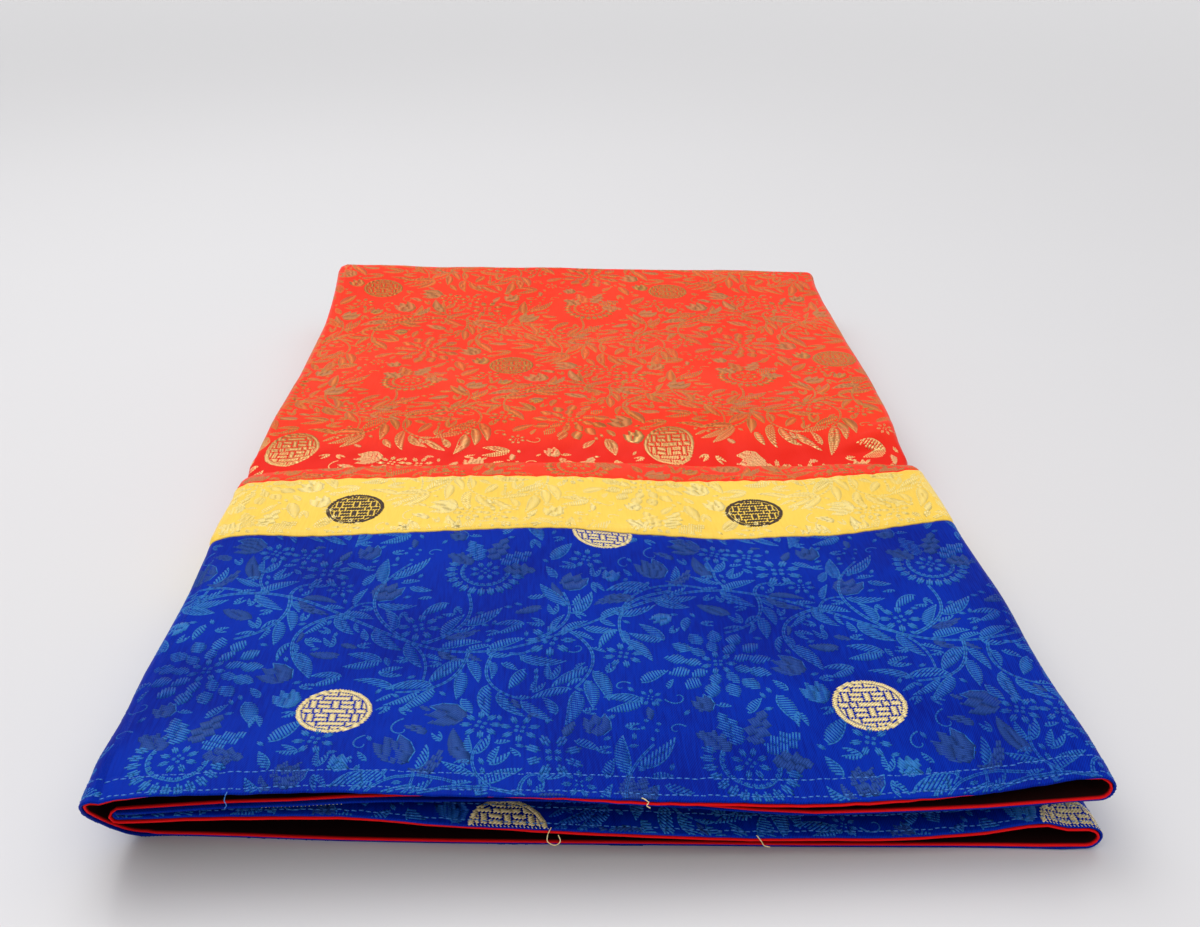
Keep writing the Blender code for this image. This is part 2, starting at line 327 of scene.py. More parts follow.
def relief(u, v):
    """How far the cloth stands proud of its plain folded shape, along its normal."""
    puckers = waves(u, v, PUCKER_WAVES)
    height = waves(u, v, SOFT_WAVES)
    height = height + HEM_STEP * ease((HEM_DEPTH + 1.2 - v) / 1.6)
    for place, width, depth in STITCH_DENTS:
        height = height - depth * bell(v - place, width)
    height = height + HEM_PUCKER * puckers * bell(v - HEM_PUCKER_AT, HEM_PUCKER_REACH)
    for seam, side in ((BLUE_END, 1.0), (YELLOW_END, -0.4)):
        away = v - seam
        height = height - GROOVE_DEPTH * bell(away, GROOVE_WIDTH)
        swell = bell(away - side * SWELL_AWAY, SWELL_WIDTH)
        height = height + swell * (SWELL + SWELL_PUCKER * puckers)
        height = height + SEAM_PUCKER * puckers * bell(away, SEAM_PUCKER_REACH)
    near_crease = bell(v - CREASE_AT - CREASE_WAVES_BEHIND, CREASE_WAVES_REACH)
    height = height + waves(u, v, CREASE_WAVES) * near_crease
    for at_u, at_v, long, wide, slant, proud in PINCHES:
        du, dv = u - at_u, v - at_v
        along = du * math.cos(slant) + dv * math.sin(slant)
        across = dv * math.cos(slant) - du * math.sin(slant)
        height = height + proud * np.exp(-(along / long) ** 2 - (across / wide) ** 2)
    return height


ROWS = all_rows()
GRID = np.array([section(row) for row in ROWS])
SHIFT = GRID.reshape(-1, 3).max(axis=0)[:2] - np.array(CAD_BOX[1])[:2] / MM
steps_round = np.linalg.norm(np.roll(GRID, -1, axis=1) - GRID, axis=2).mean(axis=0)
ROUND = float(steps_round.sum())
U = np.concatenate([[0.0], np.cumsum(steps_round)[:-1]])
U -= np.interp(0.0, GRID[:, :, 0].mean(axis=0)[PART == TOP], U[PART == TOP])


def normals_of(grid):
    """Outward unit normals at every point of a grid."""
    round_way = np.roll(grid, -1, axis=1) - np.roll(grid, 1, axis=1)
    along = np.gradient(grid, axis=0)
    normal = np.cross(round_way, along)
    return normal / np.linalg.norm(normal, axis=2)[:, :, None]


# How much of the relief each layer and fold takes, eased from one to the next.
RELIEF_OF_PART = np.array([1.0, 0.6, 0.5, 0.0, 0.6, 0.6, 0.0, 0.8])
STATION_RELIEF = RELIEF_OF_PART[PART]
for _ in range(6):
    STATION_RELIEF = (np.roll(STATION_RELIEF, 1) + 2 * STATION_RELIEF
                      + np.roll(STATION_RELIEF, -1)) / 4
GRID = GRID + normals_of(GRID) * (relief(U[None, :], ROWS[:, None])
                                  * STATION_RELIEF[None, :])[:, :, None]
GRID[:, :, 2] = np.maximum(GRID[:, :, 2], FLOOR_CLEARANCE)
NORMALS = normals_of(GRID)


def surface(station, v, lift):
    """Points of the cloth at (fractional) stations and rows, lifted off its outer face."""
    station = np.mod(station, len(U))
    left = np.floor(station).astype(int)
    across = (station - left)[:, None]
    right = (left + 1) % len(U)
    j = np.clip(np.searchsorted(ROWS, v, side="right") - 1, 0, len(ROWS) - 2)
    along = ((v - ROWS[j]) / (ROWS[j + 1] - ROWS[j]))[:, None]

    def read(field):
        low = field[j, left] * (1 - across) + field[j, right] * across
        high = field[j + 1, left] * (1 - across) + field[j + 1, right] * across
        return low * (1 - along) + high * along

    return read(GRID) + read(NORMALS) * np.asarray(lift)[:, None]


def station_at(u):
    """The fractional station at an address round the tube."""
    u = np.mod(u - U[0], ROUND) + U[0]
    ends = np.append(U, U[0] + ROUND)
    return np.interp(u, ends, np.arange(len(ends)))


def to_frame(points):
    """Points in millimetres as seen from the frame's origin, in metres."""
    moved = points.copy()
    moved[:, :2] -= SHIFT
    return moved * MM


def linked(name, data):
    """A new object in the scene, with its mesh, light or camera."""
    made = bpy.data.objects.new(name, data)
    bpy.context.scene.collection.objects.link(made)
    return made


def new_object(name, points, quads, materials, uv, triangles=None, material_of=None):
    """A smooth mesh object from arrays of points, faces and cloth addresses."""
    mesh = bpy.data.meshes.new(name)
    quads = np.asarray(quads, np.int32)
    triangles = np.zeros((0, 3), np.int32) if triangles is None else triangles.astype(np.int32)
    corners = np.concatenate([quads.ravel(), triangles.ravel()])
    starts = np.concatenate([np.arange(len(quads)) * 4,
                             len(quads) * 4 + np.arange(len(triangles)) * 3])
    mesh.vertices.add(len(points))
    mesh.vertices.foreach_set("co", to_frame(points).astype(np.float32).ravel())
    mesh.loops.add(len(corners))
    mesh.loops.foreach_set("vertex_index", corners)
    mesh.polygons.add(len(starts))
    mesh.polygons.foreach_set("loop_start", starts.astype(np.int32))
    for material in materials:
        mesh.materials.append(material)
    if material_of is not None:
        mesh.polygons.foreach_set("material_index", np.asarray(material_of, np.int32))
    layer = mesh.uv_layers.new(name="cloth")
    layer.data.foreach_set("uv", (uv[corners] * MM).astype(np.float32).ravel())
    mesh.update(calc_edges=True)
    mesh.validate()
    mesh.shade_smooth()
    return linked(name, mesh)


# ---------------------------------------------------------------------------------------------
# Materials.

class Tree:
    """The nodes of a material or a world, with short ways to add and join them."""

    def __init__(self, owner):
        owner.use_nodes = True
        self.owner, self.nodes = owner, owner.node_tree.nodes

    def join(self, output, socket):
        self.owner.node_tree.links.new(output, socket)

    def add(self, kind, inputs):
        """A new node. Each input is given a value, or the output that feeds it."""
        node = self.nodes.new("ShaderNode" + kind)
        for name, value in inputs.items():
            if isinstance(value, bpy.types.NodeSocket):
                self.join(value, node.inputs[name])
            else:
                node.inputs[name].default_value = value
        return node

    def maths(self, operation, *terms):
        node = self.add("Math", dict(enumerate(terms)))
        node.operation = operation
        return node.outputs["Value"]

    def ranged(self, value, start, end, low=0.0, high=1.0, curve="SMOOTHSTEP"):
        """A value taken from the range start to end into the range low to high."""
        node = self.add("MapRange", {"Value": value, "From Min": start, "From Max": end,
                                     "To Min": low, "To Max": high})
        node.interpolation_type = curve
        return node.outputs["Result"]

    def ramp(self, value, stops):
        """A colour ramp with a stop for each (place, colour)."""
        node = self.add("ValToRGB", {"Fac": value})
        elements = node.color_ramp.elements
        for k, (place, colour) in enumerate(stops):
            stop = elements[k] if k < 2 else elements.new(place)
            stop.position = place
            stop.color = (*colour, 1.0)
        return node


WAVE_SCALE = 0.314                      # a wave texture of this scale repeats every metre
STREAK_SCALE = (900.0, 90.0, 1.0)       # streaks are long along the tube and thin across it
THREADS_IN_COLOUR = 0.35                # how far the thread lines themselves change the colour
DRIFT_SCALE = 13.0
DRIFT_FROM, DRIFT_TO = 0.35, 0.65
SHADE_AT, COLOUR_AT = 0.35, 0.85
PAINTED_CREASE_LIGHT_BAND = (0.309, 0.322, 0.358)     # metres from the mouth where the painted crease light starts, starts to go, and is gone
LINING_SHADE_RAMP = (0.4 * MM, 1.7 * MM)         # where the lining's painted shade starts inside the mouths, and where it is full
# The lining's own red at the mouths' edges, then painted shade further in, where the lining lies in
# shadow inside the mouths.
LINING_RED = (0.85, 0.006, 0.008)
LINING_PAINTED_SHADE = (0.016, 0.004, 0.004)


def cloth_material(name, colour, shade, roughness, specular=0.5, metallic=0.0, pitch=0.9,
                   angle=0.6, depth=0.06, drift=0.0, crease=None, paint_shade_inside=False):
    """Woven cloth: thread lines as bump, and a colour that drifts and streaks along the threads.

    pitch and depth are the threads' in millimetres, and angle their slant. drift is how far the
    colour wanders over the cloth, and crease the colour that it takes on the slope of the crease,
    which is painted light: a painted highlight on the gold and rust floats, and a deeper red ground
    where the slope misses the flat cloth's sheen. The last flag puts the shade at the two mouths'
    edges only, and the colour from a millimetre or two in: for the lining a red edge, and painted
    shade further inside the mouths.
    """
    tree = Tree(bpy.data.materials.new(name))
    shader = tree.nodes["Principled BSDF"]
    shader.inputs["Roughness"].default_value = roughness
    shader.inputs["Metallic"].default_value = metallic
    shader.inputs["Specular IOR Level"].default_value = specular
    uv_map = tree.add("UVMap", {})
    uv_map.uv_map = "cloth"
    uv = uv_map.outputs["UV"]
    along = tree.add("SeparateXYZ", {"Vector": uv}).outputs["Y"]
    slanted = tree.add("Mapping", {"Vector": uv, "Rotation": (0.0, 0.0, angle)})
    wave = tree.add("TexWave", {"Vector": slanted.outputs["Vector"], "Distortion": 0.6,
                                "Scale": WAVE_SCALE / (pitch * MM), "Detail": 1.0})
    threads = wave.outputs["Fac"]
    bump = tree.add("Bump", {"Height": threads, "Strength": 0.5, "Distance": depth * MM})
    tree.join(bump.outputs["Normal"], shader.inputs["Normal"])
    # This ramp paints shade inside the mouths: the shade colour at the edges, the colour further
    # in.
    if paint_shade_inside:
        inward = tree.maths("PINGPONG", along, 0.5 * LENGTH * MM)
        ramp = tree.ramp(tree.ranged(inward, *LINING_SHADE_RAMP), ((0.0, shade), (1.0, colour)))
    else:
        stretched = tree.add("Mapping", {"Vector": uv, "Scale": STREAK_SCALE})
        streaks = tree.add("TexNoise", {"Vector": stretched.outputs["Vector"], "Scale": 1.0,
                                        "Detail": 2.0})
        shift = tree.maths("MULTIPLY_ADD", threads, THREADS_IN_COLOUR, streaks.outputs["Fac"])
        if drift:
            patches = tree.add("TexNoise", {"Vector": uv, "Scale": DRIFT_SCALE, "Detail": 1.5})
            shift = tree.maths("ADD", shift, tree.ranged(patches.outputs["Fac"], DRIFT_FROM,
                                                         DRIFT_TO, -drift, drift, "LINEAR"))
        ramp = tree.ramp(shift, ((SHADE_AT, shade), (COLOUR_AT, colour)))
    tree.join(ramp.outputs["Color"], shader.inputs["Base Color"])
    # On the slope of the crease the base colour is mixed to the crease colour, which is painted
    # light.
    if crease is not None:
        start, going, gone = PAINTED_CREASE_LIGHT_BAND
        behind = tree.maths("GREATER_THAN", along, start)
        mix = tree.nodes.new("ShaderNodeMix")
        mix.data_type = "RGBA"
        mix.inputs["B"].default_value = (*crease, 1.0)
        tree.join(tree.maths("MULTIPLY", tree.ranged(along, gone, going), behind),
                  mix.inputs["Factor"])
        tree.join(ramp.outputs["Color"], mix.inputs["A"])
        tree.join(mix.outputs["Result"], shader.inputs["Base Color"])
    return tree.owner


BLUE_CLOTH = cloth_material("blue_ground", (0.0, 0.024, 0.37), (0.0, 0.008, 0.22), 0.45,
                            specular=0.03, drift=0.22)
BLUE_FLOAT = cloth_material("blue_float", (0.024, 0.18, 0.52), (0.0, 0.045, 0.33), 0.42,
                            specular=0.12, angle=-0.5, pitch=0.7, drift=0.30)
SLATE_FLOAT = cloth_material("slate_float", (0.020, 0.072, 0.31), (0.006, 0.036, 0.23), 0.6,
                             specular=0.1, angle=-0.5, pitch=0.8, drift=0.2)
CREAM_GOLD = cloth_material("cream_gold", (0.95, 0.80, 0.42), (0.80, 0.60, 0.24), 0.4,
                            metallic=0.15, angle=0.7, pitch=1.3, depth=0.12)
YELLOW_CLOTH = cloth_material("yellow_ground", (0.95, 0.64, 0.085), (0.88, 0.55, 0.05), 0.38,
                              specular=0.25, drift=0.15)
YELLOW_FLOAT = cloth_material("yellow_float", (0.99, 0.80, 0.32), (0.94, 0.70, 0.17), 0.42,
                              specular=0.4, angle=-0.5, pitch=0.7, drift=0.2)
DARK_BROWN = cloth_material("dark_brown", (0.06, 0.022, 0.006), (0.03, 0.010, 0.003), 0.5,
                            angle=0.7, pitch=1.3, depth=0.1)
# The crease colours below are painted light: a painted highlight on the gold and rust floats on the
# crease's slope, and a deeper red ground there where the slope misses the flat cloth's sheen.
RED_CLOTH = cloth_material("red_ground", (0.96, 0.046, 0.014), (0.87, 0.026, 0.007), 0.40,
                           specular=0.06, drift=0.15, crease=(0.80, 0.018, 0.008))
GOLD_FLOAT = cloth_material("gold_float", (0.66, 0.28, 0.055), (0.46, 0.17, 0.03), 0.33,
                            metallic=0.75, angle=0.7, pitch=1.1, depth=0.1, drift=0.1,
                            crease=(1.0, 0.68, 0.28))
RUST_FLOAT = cloth_material("rust_float", (0.66, 0.24, 0.07), (0.50, 0.16, 0.04), 0.5,
                            metallic=0.5, angle=-0.5, pitch=0.8, crease=(0.95, 0.50, 0.22))
# The lining is red at the mouths' edges and painted shade a millimetre or two in.
LINING_CLOTH = cloth_material("lining_cloth", LINING_PAINTED_SHADE, LINING_RED, 0.6, specular=0.05,
                              pitch=0.6, angle=0.0, paint_shade_inside=True)
BLUE_THREAD = cloth_material("blue_thread", (0.05, 0.22, 0.66), (0.02, 0.14, 0.50), 0.45,
                             pitch=0.5, angle=0.9)

# ---------------------------------------------------------------------------------------------
# Sheets: a skin of loops down the outer face, round the nose at one end, back up the inner one.

NOSE_DEPTH = 0.55
NOSE = ((NOSE_DEPTH, 0.0), (0.15, 0.18), (0.0, 0.5), (0.15, 0.82), (NOSE_DEPTH, 1.0))


def make_sheet(name, material, start, end, outer, inner, outer_every, inner_every,
               peek=None, stations=None):
    """A closed sheet round the tube between two rows, with a rounded nose at each end."""
    chosen = np.arange(len(U)) if stations is None else stations
    inside = ROWS[(ROWS > start + NOSE_DEPTH) & (ROWS < end - NOSE_DEPTH)]
    thick = inner - outer
    path = [(row, outer) for row in inside[::-1][::outer_every]]
    path += [(start + back, outer + thick * share) for back, share in NOSE]
    path += [(row, inner) for row in inside[::inner_every]]
    path += [(end - back, outer + thick * share) for back, share in NOSE[::-1]]
    points, uv = [], []
    for row, depth in path:
        v = np.full(len(chosen), row)
        if peek is not None:
            v = v - peek[chosen] * ease(1.0 - (row - start) / PEEK_REACH)
        points.append(surface(chosen.astype(float), v, np.full(len(chosen), -depth)))
        uv.append(np.stack([U[chosen], np.full(len(chosen), row)], axis=1))
    count, loops = len(chosen), len(path)
    here = (np.arange(loops) * count)[:, None] + np.arange(count)[None, :]
    there = np.roll(here, -1, axis=0)
    faces = np.stack([there, np.roll(there, -1, axis=1), np.roll(here, -1, axis=1), here], axis=2)
    return new_object(name, np.concatenate(points), faces.reshape(-1, 4), [material],
                      uv=np.concatenate(uv))


PEEK_REACH = 14.0           # how far behind the mouth the lining's edge starts to wander

# How far the lining's edge stands out of the mouth (or back in it), layer by layer.
PEEK_COLUMNS = ("x", "top", "second", "third", "bottom")
PEEK = (
    (-210.0, -0.6, -1.0, 1.0, -1.0),
    (-196.0, -0.9, -1.6, 0.9, 0.2),
    (-180.0, -1.6, -1.8, 0.8, 0.6),
    (-120.0, -1.8, -1.6, 0.5, 0.8),
    (-90.0, -1.8, -1.8, -0.2, 0.8),
    (-50.0, -1.6, -1.8, -0.5, 0.7),
    (-18.0, -0.3, -1.6, 0.2, 0.7),
    (10.0, 0.4, -1.2, 0.3, 0.6),
    (60.0, 0.5, 0.2, 0.3, 0.6),
    (110.0, 0.5, 0.5, 0.4, 0.5),
    (132.0, -0.4, 0.6, 0.4, 0.5),
    (160.0, -1.4, 0.6, 0.5, 0.4),
    (195.0, -1.4, 0.6, 0.5, 0.3),
    (210.0, -0.5, 0.5, 0.4, 0.3),
)
PEEK_OF = {n: curve_of(PEEK, PEEK_COLUMNS, n) for n in PEEK_COLUMNS[1:]}


def lining_peek():
    """How far the lining's edge stands out at every station."""
    x = GRID[0, :, 0]
    by_part = {TOP: "top", SECOND: "second", THIRD: "third", BOTTOM: "bottom"}
    fold_ends = {UPPER_FOLD: ("top", "second"), HAIRPIN: ("third", "third"),
                 LOWER_FOLD: ("third", "bottom"), LEFT_FOLD: ("bottom", "top")}
    peek = np.zeros(len(U))
    for part, name in by_part.items():
        here = PART == part
        peek[here] = PEEK_OF[name](x[here])
    for part, (first, last) in fold_ends.items():
        here = np.flatnonzero(PART == part)
        side = HALF_WIDTH if part in (UPPER_FOLD, LOWER_FOLD) else -HALF_WIDTH
        share = np.linspace(0.0, 1.0, len(here))
        peek[here] = PEEK_OF[first](side) * (1 - share) + PEEK_OF[last](side) * share
    return peek


SEAM_GAP = 0.05
blue_cloth = make_sheet("blue_cloth", BLUE_CLOTH, 0.0, BLUE_END - SEAM_GAP, 0.0, BROCADE, 1, 3)
yellow_cloth = make_sheet("yellow_cloth", YELLOW_CLOTH, BLUE_END + SEAM_GAP,
                          YELLOW_END - SEAM_GAP, 0.0, BROCADE, 1, 3)
red_cloth = make_sheet("red_cloth", RED_CLOTH, YELLOW_END + SEAM_GAP, LENGTH, 0.0, BROCADE, 1, 3)
lining_cloth = make_sheet("lining_cloth", LINING_CLOTH, 0.0, LENGTH, BROCADE + GAP,
                          BROCADE + GAP + LINING, 3, 3, lining_peek(),
                          np.flatnonzero(np.arange(len(U)) % 2 == 0))


# ---------------------------------------------------------------------------------------------
# The woven pattern. Every float, petal rib and stem is a row of short raised bars of thread:
# a closed pyramid on a four-cornered foot sunk a little into the cloth. A unit of the pattern
# is drawn once, flat, round a roundel at its origin, and is then laid out with a half drop.

REPEAT = 246.0              # across, from roundel to roundel
ROW_DROP = 146.0            # along, from one row of roundels to the next
RISE = 0.13                 # how far a float stands proud
SINK = 0.03                 # how far its foot lies in the cloth
FLOAT, MUTED, METAL = range(3)
FLOAT_COVER = 0.66          # the share of a leaf's ground that its slanted floats cover
MUTED_PITCH = 1.15          # muted motifs are closely filled, and lower
MUTED_RISE = 0.8 * RISE


def toward(angle):
    return np.array([math.cos(angle), math.sin(angle)])


class Bars:
    """Short bars of thread on the flat cloth, each from one point to another."""

    def __init__(self):
        self.rows = []

    def add(self, start, end, start_width, end_width, kind, rise=RISE, oval=0.0):
        self.rows.append((*start, *end, start_width, end_width, kind, rise, oval))

    def stroke(self, points, widths, kind, rise=RISE):
        for k in range(len(points) - 1):
            self.add(points[k], points[k + 1], widths[k], widths[k + 1], kind, rise)

    def hatch(self, outline, angle, pitch, cover, kind, rise=RISE):
        """Fill an outline with parallel bars at an angle, a pitch apart."""
        way = toward(angle)
        side = np.array([-way[1], way[0]])
        outline = np.asarray(outline)
        across = outline @ side
        after = np.roll(outline, -1, axis=0)
        across_after = np.roll(across, -1)
        for level in np.arange(math.floor(across.min() / pitch), across.max() / pitch + 1) * pitch:
            crossing = (across > level) != (across_after > level)
            if not crossing.any():
                continue
            share = (level - across[crossing]) / (across_after[crossing] - across[crossing])
            cuts = outline[crossing] + (after[crossing] - outline[crossing]) * share[:, None]
            cuts = np.sort(cuts @ way)
            for low, high in zip(cuts[::2], cuts[1::2]):
                if high - low > 0.5 * pitch:
                    self.add(way * low + side * level, way * high + side * level,
                             pitch * cover, pitch * cover, kind, rise)

    def array(self):
        return np.array(self.rows)


def turned(points, angle, place=(0.0, 0.0)):
    """Points turned about the origin and moved."""
    points = np.asarray(points, float)
    cosine, sine = math.cos(angle), math.sin(angle)
    return points @ np.array([[cosine, sine], [-sine, cosine]]) + np.asarray(place)


def leaf_outline(length, width, bend=0.0, teeth=0):
    """A leaf from the origin along +x; bend curves its axis, teeth nick its edges."""
    count = 9 if not teeth else 2 * teeth + 1
    share = np.linspace(0.0, 1.0, count)
    half = 0.5 * width * np.sin(math.pi * share**0.8) ** 0.8
    if teeth:
        half = half * np.where(np.arange(count) % 2 == 0, 0.62, 1.1)
    axis = np.stack([share * length, bend * length * share**2], axis=1)
    slope = np.stack([np.ones(count), 2 * bend * share], axis=1)
    slope /= np.linalg.norm(slope, axis=1)[:, None]
    normal = np.stack([-slope[:, 1], slope[:, 0]], axis=1)
    return axis + normal * half[:, None], axis - normal * half[:, None]


def blade(place, angle, length, width, bend=0.0, teeth=0):
    """The closed outline of a leaf or petal, and its right edge alone."""
    left, right = leaf_outline(length, width, bend, teeth)
    return turned(np.concatenate([left, right[::-1]]), angle, place), turned(right, angle, place)


def draw_leaf(bars, place, angle, length, width, bend, kind=FLOAT):
    """A leaf with a raised edge down one side and slanted floats across the blade."""
    outline, edge = blade(place, angle, length, width, bend)
    if kind == MUTED:
        bars.hatch(outline, angle + 0.6, MUTED_PITCH, 1.0, kind, MUTED_RISE)
    else:
        bars.hatch(outline, angle + 1.05, 1.45, FLOAT_COVER, kind)
        bars.stroke(edge, np.full(len(edge), 0.75), kind)


def draw_seed(bars, place, angle, length, width, kind=FLOAT):
    """A small oval petal: one bar, or a long one between two short ones where it is wide."""
    strands = ((0.0, 1.0),) if width < 1.7 else ((-0.34, 0.62), (0.0, 1.0), (0.34, 0.62))
    for aside, share in strands:
        reach = 0.5 * share * length
        start, end = turned([(0.5 * length - reach, aside * width),
                             (0.5 * length + reach, aside * width)], angle, place)
        across = 0.9 * width / len(strands)
        bars.add(start, end, across, across, kind, 1.3 * RISE, float(len(strands) == 1))


def draw_seed_flower(bars, place, angle, size, petals):
    """Oval petals round a smaller ring of seeds."""
    for k in range(petals):
        way = angle + 2 * math.pi * k / petals
        out = toward(way)
        draw_seed(bars, np.asarray(place) + out * 0.42 * size, way, 0.58 * size, 0.30 * size)
    for k in range(4):
        way = angle + 0.4 + 0.5 * math.pi * k
        out = toward(way)
        draw_seed(bars, np.asarray(place) + out * 0.08 * size, way, 0.26 * size, 0.20 * size)


def draw_rosette(bars, place, angle, size):
    """A chrysanthemum: two rings of hatched petals round a seed centre."""
    place = np.asarray(place)
    for inner, outer, petals, width, turn in ((0.62, 1.0, 13, 0.30, 0.0),
                                              (0.32, 0.66, 9, 0.24, 0.3)):
        for k in range(petals):
            way = angle + turn + 2 * math.pi * k / petals
            out = toward(way)
            outline, _edge = blade(place + out * inner * size, way,
                                   (outer - inner) * size * 1.15, width * size)
            bars.hatch(outline, way + 0.9, 1.35, 0.68, FLOAT)
    draw_seed_flower(bars, place, angle, 0.36 * size, 7)


def draw_lotus(bars, place, angle, size):
    """A side-on lotus: a fan of pointed petals over a scalloped crescent of small ones."""
    place = np.asarray(place)
    for k, (lean, length, kind) in enumerate(((-1.15, 0.85, MUTED), (-0.62, 1.0, FLOAT),
                                              (0.0, 1.08, MUTED), (0.62, 1.0, FLOAT),
                                              (1.15, 0.85, MUTED))):
        way = angle + lean
        out = toward(way)
        outline, _edge = blade(place + out * 0.34 * size, way, 0.72 * length * size,
                               0.42 * size, 0.08 * (k - 2), 4)
        if kind == MUTED:
            bars.hatch(outline, way + 0.8, MUTED_PITCH, 1.0, kind, MUTED_RISE)
        else:
            bars.hatch(outline, way + 0.8, 1.4, FLOAT_COVER, kind)
    for k in range(13):
        way = angle + math.pi + (k - 6) * 0.27
        out = toward(way)
        draw_seed(bars, place + out * 0.52 * size, way, 0.24 * size, 0.13 * size)
        draw_seed(bars, place + out * 0.38 * size, way, 0.08 * size, 0.09 * size)
    rim = [place + 0.46 * size * toward(angle + math.pi + t) for t in np.linspace(-1.8, 1.8, 17)]
    bars.stroke(rim, np.full(len(rim), 0.8), FLOAT)
    draw_seed_flower(bars, place, angle, 0.30 * size, 8)


def draw_tulip(bars, place, angle, size, kind=MUTED):
    """A bud of three lobes on a short neck."""
    lobes = [(0.0, -0.10), (0.25, -0.42), (0.62, -0.48), (1.0, -0.36), (0.78, -0.18), (1.12, 0.0),
             (0.78, 0.18), (1.0, 0.36), (0.62, 0.48), (0.25, 0.42), (0.0, 0.10)]
    outline = turned(np.array(lobes) * size, angle, place)
    bars.hatch(outline, angle + 0.7, MUTED_PITCH, 1.0, kind, MUTED_RISE)
    if kind == FLOAT:
        return
    edge = turned(np.array(lobes[:5]) * size, angle, place)
    bars.stroke(edge, np.full(len(edge), 0.6), FLOAT)


def draw_berries(bars, place, angle, size):
    """Five loose seeds."""
    for k, (away, turn) in enumerate(((0.0, 0.0), (0.5, 0.7), (0.55, 2.6), (0.6, 4.3), (1.0, 1.6))):
        at = np.asarray(place) + away * size * toward(angle + turn)
        draw_seed(bars, at, angle + k, 2.3, 2.1)


def draw_tendril(bars, place, angle, size):
    """A thin stem that winds into a spiral."""
    points, at, way = [], np.asarray(place, float), angle
    for k in range(15):
        points.append(at.copy())
        at = at + 0.17 * size * (1.0 - 0.045 * k) * toward(way)
        way += 0.20 + 0.025 * k
    bars.stroke(points, np.linspace(1.0, 0.55, len(points)), FLOAT)


def draw_stem(bars, points, width):
    """A stem of twisted strands, three in a thick one and two in a thin one."""
    points = np.asarray(points)
    slope = np.gradient(points, axis=0)
    slope /= np.linalg.norm(slope, axis=1)[:, None]
    normal = np.stack([-slope[:, 1], slope[:, 0]], axis=1)
    strands = 3 if width > 3.0 else 2
    thin = np.linspace(1.0, 0.6, len(points)) if strands == 2 else np.ones(len(points))
    for k in range(strands):
        aside = (k / (strands - 1) - 0.5) * (1.0 - 1.0 / strands) * 1.15 * width
        strand = points + aside * normal * thin[:, None]
        bars.stroke(strand, 0.86 * width / strands * thin, FLOAT)


def bent_line(start, end, bend, step=3.2):
    """Points on a curve from start to end that bows out by bend times its length."""
    start, end = np.asarray(start, float), np.asarray(end, float)
    chord = end - start
    peak = 0.5 * (start + end) + 2 * bend * np.array([-chord[1], chord[0]])
    count = max(4, round(np.linalg.norm(chord) / step) + 1)
    t = np.linspace(0.0, 1.0, count)[:, None]
    return (1 - t) ** 2 * start + 2 * t * (1 - t) * peak + t**2 * end


# The roundel: a rim, and a key fret that is the same left and right, and up and down.
ROUNDEL_SIZE = 16.8
ROUNDEL_RISE = 0.2          # its metal thread is thicker than the floats
RIM_WIDTH = 2.3
RIM_GAP = 0.5
RIM_PARTS = 20
FRET_SLANT = 0.62
FRET_PITCH = 0.95
FRET_COVER = 1.1
# Fret boxes: left, right, bottom, top.
FRET = (
    (-5.2, 5.2, -1.4, 1.4),
    (-1.4, 1.4, 2.2, 7.8),
    (2.2, 7.8, 2.2, 4.7),
    (6.0, 8.8, -1.4, 1.4),
    (9.6, 14.2, -1.4, 1.4),
    (8.6, 11.2, 2.2, 7.8),
    (12.0, 14.2, 2.2, 7.0),
    (2.2, 7.8, 5.5, 7.8),
    (-5.8, 5.8, 8.6, 11.1),
    (6.6, 11.2, 8.6, 12.4),
    (0.4, 7.4, 11.9, 14.2),
)


def cut_to_disc(outline, radius, sides=24):
    """A convex outline cut to a disc."""
    for k in range(sides):
        way = 2 * math.pi * k / sides
        out = toward(way)
        kept = []
        for here, after in zip(outline, np.roll(outline, -1, axis=0)):
            a, b = radius - here @ out, radius - after @ out
            if a >= 0:
                kept.append(here)
            if (a > 0) != (b > 0):
                kept.append(here + (after - here) * a / (a - b))
        if len(kept) < 3:
            return None
        outline = np.array(kept)
    return outline


def draw_roundel():
    """Metal thread floats over the rim and the fret, all on one slant."""
    bars = Bars()
    inner = ROUNDEL_SIZE - RIM_WIDTH
    for k in range(RIM_PARTS):
        low, high = (toward(2 * math.pi * (k + edge) / RIM_PARTS) for edge in (0.0, 1.0))
        outline = [ROUNDEL_SIZE * low, ROUNDEL_SIZE * high, inner * high, inner * low]
        bars.hatch(outline, FRET_SLANT, FRET_PITCH, FRET_COVER, METAL, ROUNDEL_RISE)
    for left, right, bottom, top in FRET:
        box = np.array([(left, bottom), (right, bottom), (right, top), (left, top)])
        for mirror_x in ((1.0,) if left == -right else (-1.0, 1.0)):
            for mirror_y in ((1.0,) if bottom == -top else (-1.0, 1.0)):
                outline = cut_to_disc(box * (mirror_x, mirror_y), inner - RIM_GAP)
                if outline is not None:
                    bars.hatch(outline, FRET_SLANT, FRET_PITCH, FRET_COVER, METAL, ROUNDEL_RISE)
    return bars.array()


class Room:
    """Discs already taken on the flat repeat, so that motifs stay clear of each other."""

    def __init__(self):
        self.taken = []

    def is_free(self, x, y, radius):
        for dx, dy in ((0, 0), (REPEAT, 0), (-REPEAT, 0), (REPEAT / 2, ROW_DROP),
                       (-REPEAT / 2, ROW_DROP), (REPEAT / 2, -ROW_DROP), (-REPEAT / 2, -ROW_DROP)):
            for other_x, other_y, other in self.taken:
                if math.hypot(x - other_x - dx, y - other_y - dy) < radius + other:
                    return False
        return True

    def take(self, discs):
        self.taken.extend(discs)

    def fits(self, discs):
        return all(self.is_free(*disc) for disc in discs)


